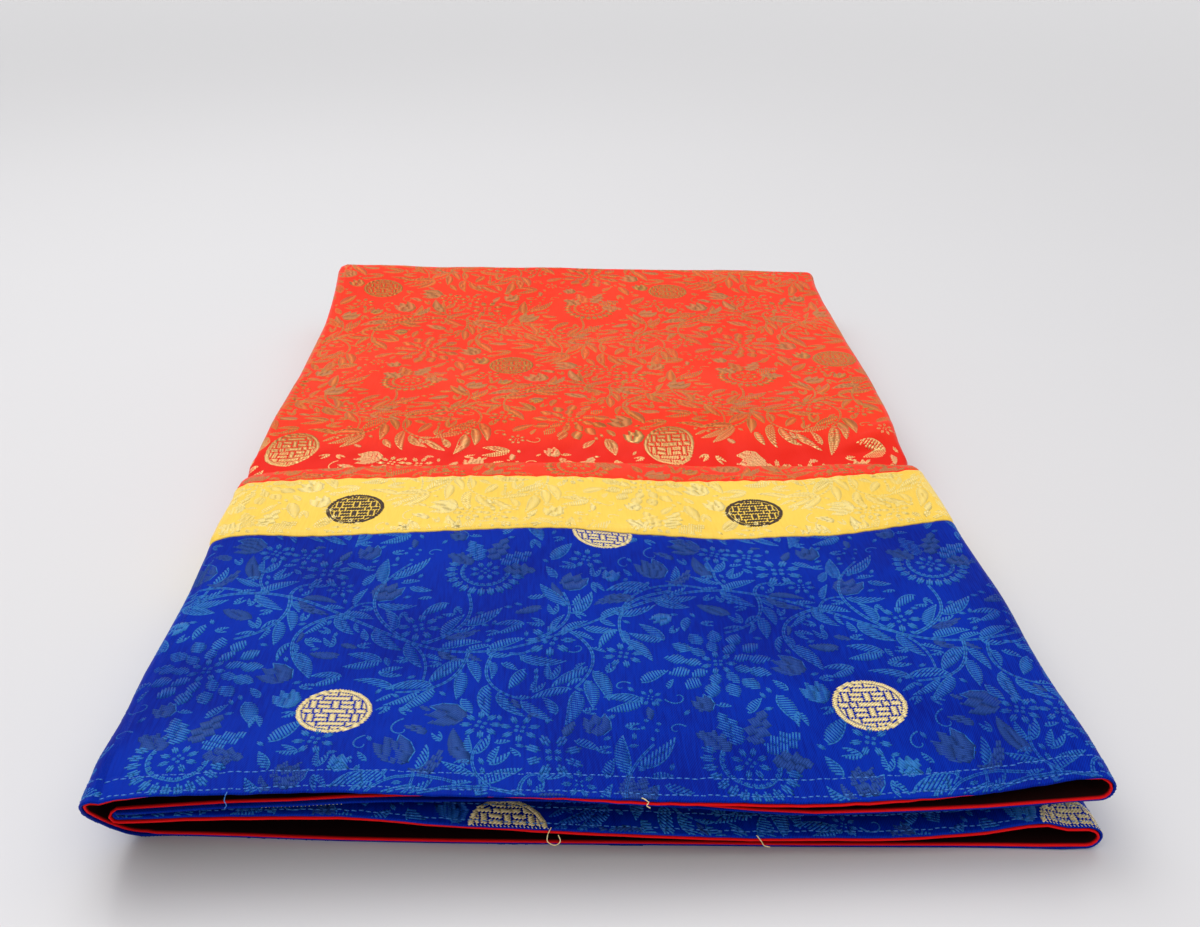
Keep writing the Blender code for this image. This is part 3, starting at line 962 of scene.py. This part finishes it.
def leaf_discs(place, angle, length, width, bend):
    """Three discs down a leaf, for the room that it takes."""
    left, right = leaf_outline(length, width, bend)
    axis = turned(0.5 * (left + right), angle, place)
    return [(*axis[k], 0.42 * width) for k in (3, 5, 7)]


# The flowers and buds of one unit, and the stems that carry them; the roundel is at (0, 0).
# Flowers: kind, x, y, angle, size.
FLOWERS = (
    ("lotus", 62.0, 110.0, 70.0, 29.0),
    ("rosette", -66.0, 32.0, 200.0, 25.0),
    ("seeds", -24.0, 112.0, 20.0, 13.5),
    ("seeds", 98.0, 50.0, 0.0, 12.5),
    ("seeds", 31.0, 62.0, 40.0, 11.0),
    ("seeds", -112.0, 38.0, 10.0, 10.0),
    ("tulip", -88.0, 106.0, 120.0, 18.0),
    ("tulip", 6.0, 86.0, 60.0, 17.0),
    ("tulip", -25.0, 24.0, 150.0, 16.0),
    ("tulip", 106.0, 92.0, 60.0, 15.0),
    ("seeds", -56.0, 132.0, 0.0, 9.5),
    ("berries", 22.0, 128.0, 20.0, 8.0),
)
# Stems: x and y of both ends, bend, width.
STEMS = (
    (36.0, 50.0, 54.0, 90.0, -0.22, 2.4),
    (-40.0, 92.0, -60.0, 56.0, 0.24, 2.4),
    (-40.0, 92.0, -28.0, 101.0, 0.25, 2.0),
    (78.0, 40.0, 91.0, 46.0, -0.20, 2.0),
    (-100.0, 86.0, -84.0, 102.0, -0.25, 2.0),
    (-8.0, 70.0, 6.0, 84.0, 0.30, 1.9),
    (-84.0, 94.0, -111.0, 48.0, -0.26, 2.2),
    (-12.0, 74.0, -26.0, 38.0, -0.28, 2.2),
    (88.0, 50.0, 104.0, 90.0, -0.24, 2.0),
    (-52.0, 94.0, -55.0, 122.0, 0.20, 1.8),
    (22.0, 56.0, 21.0, 120.0, 0.26, 2.0),
    (58.0, 42.0, 26.0, 14.0, 0.24, 2.0),
    (104.0, 60.0, 110.0, 14.0, 0.26, 2.0),
    (20.0, 56.0, 38.0, 22.0, 0.18, 1.8),
    (-66.0, 96.0, -112.0, 76.0, -0.24, 1.8),
    (70.0, 40.0, 84.0, 8.0, -0.24, 1.8),
)
VINE_MIDDLE, VINE_SWING, VINE_WIDTH = 68.0, 26.0, 2.2
FLOWER_DRAWERS = {
    "lotus": draw_lotus,
    "rosette": draw_rosette,
    "tulip": draw_tulip,
    "berries": draw_berries,
    "seeds": lambda bars, place, angle, size: draw_seed_flower(bars, place, angle, size, 8),
}


def vine_points():
    x = np.linspace(-0.5 * REPEAT, 0.5 * REPEAT, 74)
    return np.stack([x, VINE_MIDDLE - VINE_SWING * np.sin(2 * math.pi * x / REPEAT)], axis=1)


def grow_leaves(bars, room, points, chance, step, sizes):
    """Leaves on both sides of a stem, wherever there is room for them."""
    walked = np.concatenate([[0.0], np.cumsum(np.linalg.norm(np.diff(points, axis=0), axis=1))])
    side = 1.0
    for at in np.arange(0.55 * step, walked[-1] + 0.3 * step, step):
        for _ in range(2):
            side = -side
            k = min(int(np.searchsorted(walked, at)), len(points) - 1)
            slope = points[k] - points[k - 1]
            heading = math.atan2(slope[1], slope[0]) + side * chance.uniform(0.5, 0.95)
            bend = side * chance.uniform(-0.55, -0.15)
            for size in sizes:
                length = size * chance.uniform(0.85, 1.1)
                width = length * chance.uniform(0.26, 0.36)
                place = points[k] + 1.6 * toward(heading)
                discs = leaf_discs(place, heading, length, width, bend)
                if room.fits(discs):
                    room.take(discs)
                    kind = MUTED if chance.random() < 0.14 else FLOAT
                    draw_leaf(bars, place, heading, length, width, bend, kind)
                    break


def fill_gaps(bars, room, chance):
    """Small sprigs, tendrils, leaves and seeds in what is left of the ground."""
    for radius, tries in ((9.0, 300), (7.2, 500), (5.6, 700), (4.4, 900), (3.2, 1100), (2.2, 1300)):
        for _ in range(tries):
            x = chance.uniform(-0.5, 0.5) * REPEAT
            y = chance.uniform(0.0, 1.0) * ROW_DROP
            if not room.is_free(x, y, 0.9 * radius):
                continue
            room.take([(x, y, 0.9 * radius)])
            angle = chance.uniform(0.0, 2 * math.pi)
            draw = chance.random()
            back = -toward(angle) * radius
            place = np.array([x, y]) + back
            if radius < 2.5:
                draw_seed(bars, place, angle, 2.0 * radius, 2.0)
            elif radius > 5.0 and draw < 0.22:
                draw_seed_flower(bars, (x, y), angle, 1.05 * radius, 7)
            elif radius > 5.0 and draw < 0.34:
                draw_tulip(bars, place, angle, 1.9 * radius, MUTED if draw < 0.29 else FLOAT)
            elif radius > 5.0 and draw < 0.46:
                draw_tendril(bars, place, angle, 1.3 * radius)
            elif draw < 0.62:
                for lean in (-0.5, 0.5):
                    draw_leaf(bars, place, angle + lean, 2.0 * radius, 0.62 * radius,
                              -0.5 * lean)
            else:
                draw_leaf(bars, place, angle, 2.15 * radius, 0.85 * radius,
                          chance.uniform(-0.4, 0.4), MUTED if draw > 0.93 else FLOAT)


def draw_unit(full):
    """One unit of the vine pattern, without its roundel; the plain one has fewer leaves."""
    bars, room, chance = Bars(), Room(), random.Random(7)
    room.take([(0.0, 0.0, ROUNDEL_SIZE + 1.0)])
    vine = vine_points()
    draw_stem(bars, vine, VINE_WIDTH)
    stems = [bent_line((x0, y0), (x1, y1), bend) for x0, y0, x1, y1, bend, _width in STEMS]
    for kind, x, y, angle, size in FLOWERS:
        FLOWER_DRAWERS[kind](bars, (x, y), math.radians(angle), size)
        reach = 1.08 * size if kind in ("lotus", "rosette") else 0.8 * size
        centre = (x, y)
        if kind == "tulip":
            way = math.radians(angle)
            centre = (x + 0.5 * size * math.cos(way), y + 0.5 * size * math.sin(way))
            reach = 0.6 * size
        room.take([(*centre, reach)])
    for points, row in zip(stems, STEMS):
        draw_stem(bars, points, row[5])
    for points in (vine, *stems):
        room.take([(*point, 1.0) for point in points[1:-1]])
    if not full:
        grow_leaves(bars, room, vine, chance, 17.0, (25.0, 19.0, 14.0))
        return bars.array()
    grow_leaves(bars, room, vine, chance, 12.5, (20.0, 16.0, 12.0, 9.0))
    for points in stems:
        grow_leaves(bars, room, points, chance, 7.5, (21.0, 16.0, 12.0, 9.0))
    fill_gaps(bars, room, chance)
    return bars.array()


# Rows of roundels on each panel: on the top layer for the face cloth, on the third layer for
# the back cloth. Each has a roundel at (x, y), and more across the cloth on both sides.
JOIN_X = 20.0               # where the two cloths meet, on the second and the bottom layer
ROUNDEL_ROWS = (
    ("blue", TOP, 240.0, ((6.0, -91.0), (-114.0, 58.0), (11.0, 207.0))),
    ("yellow", TOP, 232.0, ((-12.0, 95.0), (-131.0, 242.0))),
    ("red", TOP, 247.5, ((-62.0, 192.0), (61.5, 334.0), (-51.0, 465.0), (81.0, 620.0))),
    ("blue", THIRD, 243.0, ((83.0, -140.0), (-38.0, 4.0), (83.0, 150.0))),
    ("yellow", THIRD, 243.0, ((40.0, 130.0), (-80.0, 262.0))),
    ("red", THIRD, 243.0, ((40.0, 190.0), (-80.0, 336.0), (42.0, 480.0), (-78.0, 626.0))),
)
PANELS = {
    "blue": (0.5, BLUE_END - 0.9),
    "yellow": (BLUE_END + 1.8, YELLOW_END - 1.6),
    "red": (YELLOW_END + 1.6, LENGTH - 0.5),
}
INNER_FRONT, INNER_REAR = 48.0, 50.0        # how far into the mouths the pattern is drawn
RED_PATTERN_SPLIT = 470.0   # its pattern is two pieces, before and behind this
SAG = 0.03                  # how far a bar may stray from the cloth before it is cut in two
LONGEST = 9.0               # how long a bar may be before it is cut in two
MOST_CUTS = 5

MEAN_X = GRID[:, :, 0].mean(axis=0)


def u_on(part, x):
    """The address round the tube of a place across a layer."""
    here = np.flatnonzero(PART == part)
    order = np.argsort(MEAN_X[here])
    return float(np.interp(x, MEAN_X[here][order], U[here][order]))


def cloth_place(x, y, part):
    """The cloth's own address (u, v) of a point of a layer."""
    mouth = FRONT_OF["top_y" if part == TOP else "third_y"](x)
    v = y
    for _ in range(6):
        v = v + y - float(place_y(x, v, mouth))
    return u_on(part, x), v


def clipped(rows, start, end):
    """Bars cut to the stretch of v between start and end."""
    low, high = np.minimum(rows[:, 1], rows[:, 3]), np.maximum(rows[:, 1], rows[:, 3])
    rows = rows[(high > start) & (low < end)].copy()
    for first, other in ((0, 2), (2, 0)):
        v0, v1 = rows[:, first + 1].copy(), rows[:, other + 1]
        for edge, out in ((start, v0 < start), (end, v0 > end)):
            share = (edge - v0[out]) / (v1[out] - v0[out])
            rows[out, first] += share * (rows[out, other] - rows[out, first])
            rows[out, first + 1] = edge
    return rows


def part_of(rows):
    """The layer or fold that each bar's middle is on."""
    return PART[np.round(station_at(0.5 * (rows[:, 0] + rows[:, 2]))).astype(int) % len(U)]


def seen(rows):
    """Leave out what lies deep between the layers."""
    part = part_of(rows)
    v = 0.5 * (rows[:, 1] + rows[:, 3])
    inner = (part == SECOND) | (part == HAIRPIN) | (part == THIRD)
    return rows[~inner | (v < INNER_FRONT) | (v > LENGTH - INNER_REAR)]


def laid_out(panel, drawings):
    """All the bars of a panel, in cloth addresses."""
    start, end = PANELS[panel]
    face_join = u_on(SECOND, JOIN_X)
    back_join = u_on(BOTTOM, JOIN_X)
    found = []
    for name, part, across, places in ROUNDEL_ROWS:
        if name != panel:
            continue
        low, high = ((back_join - ROUND, face_join) if part == TOP else (face_join, back_join))
        for k, (x, y) in enumerate(places):
            next_y = places[k + 1][1] if k + 1 < len(places) else y + ROW_DROP
            scale = np.array([across / REPEAT, (next_y - y) / ROW_DROP] * 2)
            u0, v0 = cloth_place(x, y, part)
            first = math.floor((low - u0) / across) - 1
            last = math.ceil((high - u0) / across) + 1
            for step in range(first, last + 1):
                for rows, stretches, below in drawings:
                    placed = rows.copy()
                    placed[:, :4] *= scale if stretches else 1.0
                    placed[:, [0, 2]] += u0 + step * across
                    placed[:, [1, 3]] += v0
                    middle = 0.5 * (placed[:, 0] + placed[:, 2])
                    kept = (middle > low) & (middle < high)
                    if below is not None:
                        kept &= (part_of(placed) == BOTTOM) == below
                    found.append(placed[kept])
    return seen(clipped(np.concatenate(found), start, end))


def on_cloth(addresses, lift):
    """Points at cloth addresses, lifted off the outer face."""
    return surface(station_at(addresses[:, 0]), np.clip(addresses[:, 1], 0.0, LENGTH), lift)


def cut_short(rows):
    """Bars cut in two, and again, until each lies close to the cloth under it."""
    finished = []
    for _ in range(MOST_CUTS):
        start, end = rows[:, :2], rows[:, 2:4]
        middle = 0.5 * (start + end)
        flush = np.zeros(len(rows))
        chord = 0.5 * (on_cloth(start, flush) + on_cloth(end, flush))
        far = np.linalg.norm(on_cloth(middle, flush) - chord, axis=1) > SAG
        far |= np.hypot(*(end - start).T) > LONGEST
        finished.append(rows[~far])
        halved, middle = rows[far], middle[far]
        width = 0.5 * (halved[:, 4:5] + halved[:, 5:6])
        first = [halved[:, :2], middle, halved[:, 4:5], width, halved[:, 6:]]
        second = [middle, halved[:, 2:4], width, halved[:, 5:]]
        rows = np.concatenate([np.concatenate(first, axis=1), np.concatenate(second, axis=1)])
    return np.concatenate([*finished, rows])


def make_bars(name, rows, materials):
    """One joined mesh of closed four-sided pyramids lying on the cloth."""
    rows = cut_short(rows)
    count = len(rows)
    start, end = rows[:, :2], rows[:, 2:4]
    along = end - start
    length = np.maximum(np.linalg.norm(along, axis=1), 1e-6)[:, None]
    side = 0.5 * np.stack([-along[:, 1], along[:, 0]], axis=1) / length
    middle = 0.5 * (start + end)
    mean_width = 0.5 * (rows[:, 4:5] + rows[:, 5:6])
    oval = rows[:, 8:9] > 0.5
    corners = np.stack([
        np.where(oval, start, start + side * rows[:, 4:5]),
        np.where(oval, middle - side * mean_width, start - side * rows[:, 4:5]),
        np.where(oval, end, end - side * rows[:, 5:6]),
        np.where(oval, middle + side * mean_width, end + side * rows[:, 5:6]),
        middle], axis=1)
    grow = (1.0 + SINK / rows[:, 7])[:, None, None]
    corners = middle[:, None] + (corners - middle[:, None]) * grow
    lift = np.full((count, 5), -SINK)
    lift[:, 4] = rows[:, 7]
    flat = corners.reshape(-1, 2)
    points = on_cloth(flat, lift.ravel())
    first = 5 * np.arange(count)[:, None]
    foot = first + np.array([[3, 2, 1, 0]])
    sides = first[:, :, None] + np.array([[0, 1, 4], [1, 2, 4], [2, 3, 4], [3, 0, 4]])[None]
    kinds = rows[:, 6].astype(np.int32)
    return new_object(name, points, foot, materials, uv=flat, triangles=sides.reshape(-1, 3),
                      material_of=np.concatenate([kinds, np.repeat(kinds, 4)]))


STITCH_ROWS = ((HEM_DEPTH, 3.3, 2.5), (EDGE_STITCH_AT, 3.0, 2.1))       # depth, pitch, length
STITCH_WIDTH, STITCH_RISE = 0.7, 0.36


def draw_stitches():
    """Two rows of running stitches round the hem."""
    bars = Bars()
    for depth, pitch, length in STITCH_ROWS:
        for k in range(round(ROUND / pitch)):
            u = U[0] + k * pitch
            v = depth + 0.22 * math.sin(1.7 * k) - 1.6 * math.exp(-((u + 205.0) / 60.0) ** 2)
            bars.add((u, v), (u + length, v + 0.12 * math.sin(2.3 * k)), STITCH_WIDTH,
                     STITCH_WIDTH, FLOAT, STITCH_RISE)
    return bars.array()


# Loose thread ends at the front mouth: name, layer, x and v of the start, and the bends.
THREAD_RADIUS = 0.22
THREAD_SIDES = 6
LOOSE_THREADS = (
    ("loose_blue_end", TOP, -150.0, 0.6, ((0, 0, 0), (-0.6, -1.4, -0.8), (-1.0, -2.2, -2.6),
                                          (-0.4, -2.6, -4.6), (-1.2, -2.8, -6.0))),
    ("loose_gold_end", TOP, 17.0, 0.8, ((0, 0, 0), (1.4, -1.6, 0.4), (2.6, -2.2, -0.6),
                                        (1.8, -2.8, -1.6), (3.2, -3.4, -2.4))),
    ("loose_orange_loop", THIRD, -20.0, 0.8, ((0, 0, 0), (-1.5, -2.0, -2.0), (-1.6, -3.0, -5.0),
                                              (1.4, -3.4, -6.6), (3.6, -3.0, -5.0),
                                              (2.8, -2.0, -2.4))),
    ("loose_gold_wisp", THIRD, 66.0, 0.8, ((0, 0, 0), (1.8, -2.0, -1.6), (3.0, -2.6, -3.4),
                                           (5.4, -3.0, -4.0))),
)


def make_thread(name, part, x, v, bends, material):
    """A thin tube along a smooth curve through a few bends."""
    start = surface(station_at(np.array([u_on(part, x)])), np.array([v]), [0.2])[0]
    knots = start + np.array(bends, float)
    t = np.linspace(0.0, len(knots) - 1.0, 6 * len(knots))
    k = np.clip(t.astype(int), 0, len(knots) - 2)
    f = (t - k)[:, None]
    slopes = np.gradient(knots, axis=0)
    line = (knots[k] * (1 + 2 * f) * (1 - f) ** 2 + slopes[k] * f * (1 - f) ** 2
            + knots[k + 1] * f * f * (3 - 2 * f) + slopes[k + 1] * f * f * (f - 1))
    way = np.gradient(line, axis=0)
    way /= np.linalg.norm(way, axis=1)[:, None]
    aside = np.cross(way, (0.3, 0.5, 0.8))
    aside /= np.linalg.norm(aside, axis=1)[:, None]
    upward = np.cross(way, aside)
    turns = 2 * math.pi * np.arange(THREAD_SIDES) / THREAD_SIDES
    ring = (np.cos(turns)[None, :, None] * aside[:, None]
            + np.sin(turns)[None, :, None] * upward[:, None])
    points = (line[:, None] + THREAD_RADIUS * ring).reshape(-1, 3)
    first = THREAD_SIDES * np.arange(len(line) - 1)[:, None]
    i = np.arange(THREAD_SIDES)[None, :]
    j = (i + 1) % THREAD_SIDES
    quads = np.stack([first + i, first + THREAD_SIDES + i, first + THREAD_SIDES + j, first + j],
                     axis=2).reshape(-1, 4)
    last = THREAD_SIDES * (len(line) - 1)
    caps = [[base + corner for corner in (0, k, k + 1)[::flip]]
            for base, flip in ((0, 1), (last, -1)) for k in range(1, THREAD_SIDES - 1)]
    return new_object(name, points, quads, [material], uv=points[:, :2],
                      triangles=np.array(caps))


# Each drawing, whether it stretches with its row, and whether it is for the underside alone.
DRAWINGS = (
    (draw_unit(True), True, False),
    (draw_unit(False), True, True),
    (draw_roundel(), False, None),
)
blue_pattern = make_bars("blue_pattern", laid_out("blue", DRAWINGS),
                         [BLUE_FLOAT, SLATE_FLOAT, CREAM_GOLD])
yellow_pattern = make_bars("yellow_pattern", laid_out("yellow", DRAWINGS),
                           [YELLOW_FLOAT, YELLOW_FLOAT, DARK_BROWN])
RED_MATERIALS = [GOLD_FLOAT, RUST_FLOAT, GOLD_FLOAT]
red_bars = laid_out("red", DRAWINGS)
in_front = red_bars[:, 1] < RED_PATTERN_SPLIT
red_pattern_front = make_bars("red_pattern_front", red_bars[in_front], RED_MATERIALS)
red_pattern_rear = make_bars("red_pattern_rear", red_bars[~in_front], RED_MATERIALS)
hem_stitches = make_bars("hem_stitches", draw_stitches(), [BLUE_THREAD])
loose_threads = [
    make_thread(name, part, x, v, bends, BLUE_THREAD if "blue" in name else CREAM_GOLD)
    for name, part, x, v, bends in LOOSE_THREADS]

# ---------------------------------------------------------------------------------------------
# What rides on the part, and what stands for what.

ROOT = "root"
CLOTHS = (
    (blue_cloth, "blue_panel", "blue_brocade", BLUE_END,
     (blue_pattern, hem_stitches, *loose_threads)),
    (yellow_cloth, "yellow_band", "yellow_brocade", YELLOW_END - BLUE_END, (yellow_pattern,)),
    (red_cloth, "red_panel", "red_brocade", LENGTH - YELLOW_END,
     (red_pattern_front, red_pattern_rear)),
    (lining_cloth, "lining", "red_lining", LENGTH, ()),
)
for cloth, node, slot, length, trims in CLOTHS:
    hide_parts(node)
    for piece in (cloth, *trims):
        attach(piece, ROOT)
    list(trims)

# ---------------------------------------------------------------------------------------------
# Floor, light and camera.

FLOOR_REACH = 6.0
FLOOR_COLOUR = (0.71, 0.70, 0.71)
LIGHT_AT, LIGHT_SIZE, LIGHT_WATTS = (-0.5, 0.6, 1.6), (1.6, 1.2), 12.5
# Sky brightness by height: bright low down, dim below halfway, and bright overhead.
SKY = ((0.0, 1.55), (0.22, 0.40), (0.48, 0.42), (0.78, 1.18), (1.0, 1.08))


def make_floor():
    mesh = bpy.data.meshes.new("floor")
    mesh.from_pydata([(x * FLOOR_REACH, y * FLOOR_REACH, 0)
                      for x, y in ((-1, -1), (1, -1), (1, 1), (-1, 1))], [], [(0, 1, 2, 3)])
    tree = Tree(bpy.data.materials.new("floor"))
    shader = tree.nodes["Principled BSDF"]
    shader.inputs["Base Color"].default_value = (*FLOOR_COLOUR, 1.0)
    shader.inputs["Roughness"].default_value = 0.25
    shader.inputs["Specular IOR Level"].default_value = 0.25
    mesh.materials.append(tree.owner)
    linked("floor", mesh)


def make_light():
    """A soft light above, aimed at the origin."""
    data = bpy.data.lights.new("top_softbox", "AREA")
    data.shape = "RECTANGLE"
    data.size, data.size_y = LIGHT_SIZE
    data.energy = LIGHT_WATTS
    lamp = linked("top_softbox", data)
    lamp.location = LIGHT_AT
    lamp.rotation_mode = "QUATERNION"
    lamp.rotation_quaternion = (-Vector(LIGHT_AT)).to_track_quat("-Z", "Y")


def make_world():
    tree = Tree(bpy.data.worlds.new("studio"))
    place = tree.add("TexCoord", {}).outputs["Generated"]
    height = tree.add("SeparateXYZ", {"Vector": place}).outputs["Z"]
    ramp = tree.ramp(height, [(at, (bright, bright, 1.01 * bright)) for at, bright in SKY])
    ramp.color_ramp.interpolation = "EASE"
    tree.join(ramp.outputs["Color"], tree.nodes["Background"].inputs["Color"])
    bpy.context.scene.world = tree.owner


CAMERA_AT = (-21.3, -361.4, 368.3)
CAMERA_DOWN, CAMERA_HEADING = 26.41, -2.9       # degrees
CAMERA_LENS, CAMERA_SENSOR = 35.0, 36.0


def make_camera():
    data = bpy.data.cameras.new("camera")
    data.lens = CAMERA_LENS
    data.sensor_width = CAMERA_SENSOR
    camera = linked("camera", data)
    camera.location = ((CAMERA_AT[0] - SHIFT[0]) * MM, (CAMERA_AT[1] - SHIFT[1]) * MM,
                       CAMERA_AT[2] * MM)
    camera.rotation_euler = (math.radians(90.0 - CAMERA_DOWN), 0.0,
                             math.radians(CAMERA_HEADING))
    bpy.context.scene.camera = camera


make_floor()
make_world()
make_light()
make_camera()
bpy.context.scene.view_settings.view_transform = "Standard"
